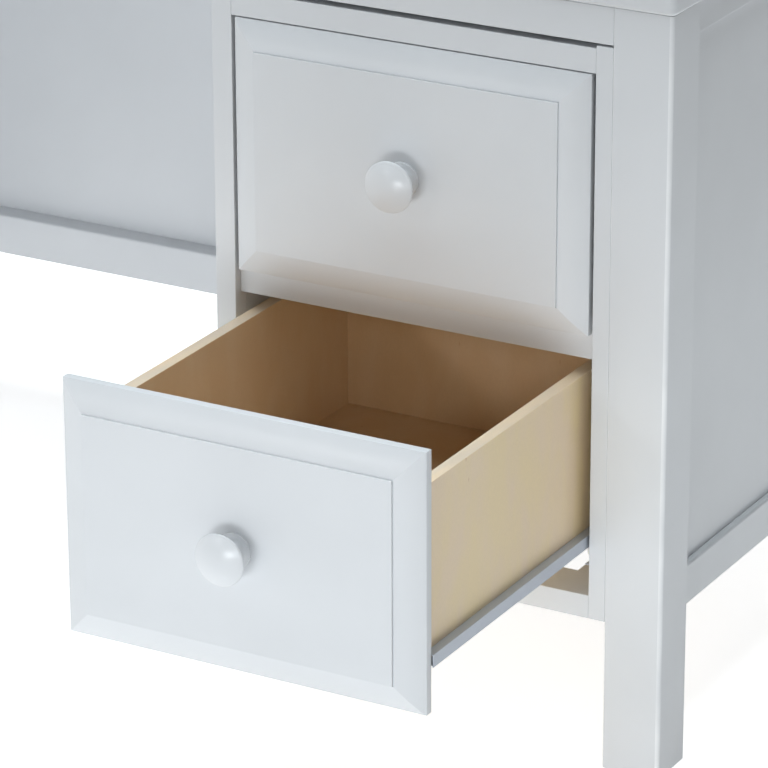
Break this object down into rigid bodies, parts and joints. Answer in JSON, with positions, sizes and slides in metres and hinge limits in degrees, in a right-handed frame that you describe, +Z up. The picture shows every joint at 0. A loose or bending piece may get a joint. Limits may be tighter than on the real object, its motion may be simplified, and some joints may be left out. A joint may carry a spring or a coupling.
{
  "type": "writing desk with drawers",
  "caption": "White painted writing desk with a kneehole and a hung pedestal of raised-field drawers with round knobs on roller slides.",
  "frame": {"origin": "middle of the footprint of the four legs, on the floor", "axes": "+X to the user's right along the front edge, +Y from the user to the back, +Z up"},
  "size_m": [1.219, 0.9595, 0.762],
  "materials": {
    "white_paint": "satin white paint over wood",
    "plywood": "clear-sealed birch plywood",
    "slide_steel": "light grey epoxy coat on folded steel",
    "roller_nylon": "white nylon",
    "screw_steel": "zinc-plated steel",
    "glide_nylon": "grey nylon"
  },
  "bodies": {
    "desk": {"back_bottom_rail": "white_paint", "back_panel": "white_paint", "back_top_rail": "white_paint", "cabinet_slide_screws": "screw_steel", "desktop": "white_paint", "desktop_screws": "screw_steel", "front_apron": "white_paint", "left_bottom_rail": "white_paint", "left_panel": "white_paint", "left_top_rail": "white_paint", "leg_back_left": "white_paint", "leg_back_right": "white_paint", "leg_front_left": "white_paint", "leg_front_right": "white_paint", "leg_glides": "glide_nylon", "lower_cabinet_slide_left": "slide_steel", "lower_cabinet_slide_right": "slide_steel", "pedestal_back_panel": "white_paint", "pedestal_bottom_back": "white_paint", "pedestal_bottom_left": "white_paint", "pedestal_bottom_rail": "white_paint", "pedestal_bottom_right": "white_paint", "pedestal_left_panel": "white_paint", "pedestal_left_stile": "white_paint", "pedestal_mid_rail": "white_paint", "pedestal_right_panel": "white_paint", "pedestal_right_stile": "white_paint", "pedestal_screws": "screw_steel", "pedestal_top_rail": "white_paint", "right_bottom_rail": "white_paint", "right_panel": "white_paint", "right_top_rail": "white_paint", "upper_cabinet_slide_left": "slide_steel", "upper_cabinet_slide_right": "slide_steel"},
    "upper_drawer": {"upper_box_back": "plywood", "upper_box_bottom": "plywood", "upper_box_front": "plywood", "upper_box_left": "plywood", "upper_box_right": "plywood", "upper_front": "white_paint", "upper_knob": "white_paint", "upper_knob_screw": "screw_steel", "upper_screws": "screw_steel", "upper_slide_left": "slide_steel", "upper_slide_right": "slide_steel"},
    "upper_rear_rollers": {"upper_rear_rollers": "roller_nylon"},
    "upper_front_rollers": {"upper_front_rollers": "roller_nylon"},
    "lower_drawer": {"lower_box_back": "plywood", "lower_box_bottom": "plywood", "lower_box_front": "plywood", "lower_box_left": "plywood", "lower_box_right": "plywood", "lower_front": "white_paint", "lower_knob": "white_paint", "lower_knob_screw": "screw_steel", "lower_screws": "screw_steel", "lower_slide_left": "slide_steel", "lower_slide_right": "slide_steel"},
    "lower_rear_rollers": {"lower_rear_rollers": "roller_nylon"},
    "lower_front_rollers": {"lower_front_rollers": "roller_nylon"}
  },
  "joints": [
    {"name": "upper_drawer_slide", "type": "slide", "parent": "desk", "child": "upper_drawer", "axis": [0, -1, 0], "range_m": [0, 0.345]},
    {"name": "upper_front_roller_spin", "type": "hinge", "parent": "desk", "child": "upper_front_rollers", "pos_m": [0.3472, -0.2818, 0.4606], "axis": [1, 0, 0], "continuous": true},
    {"name": "upper_rear_roller_spin", "type": "hinge", "parent": "upper_drawer", "child": "upper_rear_rollers", "pos_m": [0.3472, 0.1432, 0.4571], "axis": [1, 0, 0], "continuous": true},
    {"name": "lower_drawer_slide", "type": "slide", "parent": "desk", "child": "lower_drawer", "axis": [0, -1, 0], "range_m": [-0.299, 0.046]},
    {"name": "lower_front_roller_spin", "type": "hinge", "parent": "desk", "child": "lower_front_rollers", "pos_m": [0.3472, -0.2818, 0.2124], "axis": [1, 0, 0], "continuous": true},
    {"name": "lower_rear_roller_spin", "type": "hinge", "parent": "lower_drawer", "child": "lower_rear_rollers", "pos_m": [0.3472, -0.1558, 0.2089], "axis": [1, 0, 0], "continuous": true}
  ],
  "couplings": [
    {"joint": "upper_front_roller_spin", "follows": "upper_drawer_slide", "rad_per_m": 111.11},
    {"joint": "upper_rear_roller_spin", "follows": "upper_drawer_slide", "rad_per_m": 114.94},
    {"joint": "lower_front_roller_spin", "follows": "lower_drawer_slide", "rad_per_m": 111.11},
    {"joint": "lower_rear_roller_spin", "follows": "lower_drawer_slide", "rad_per_m": 114.94}
  ]
}
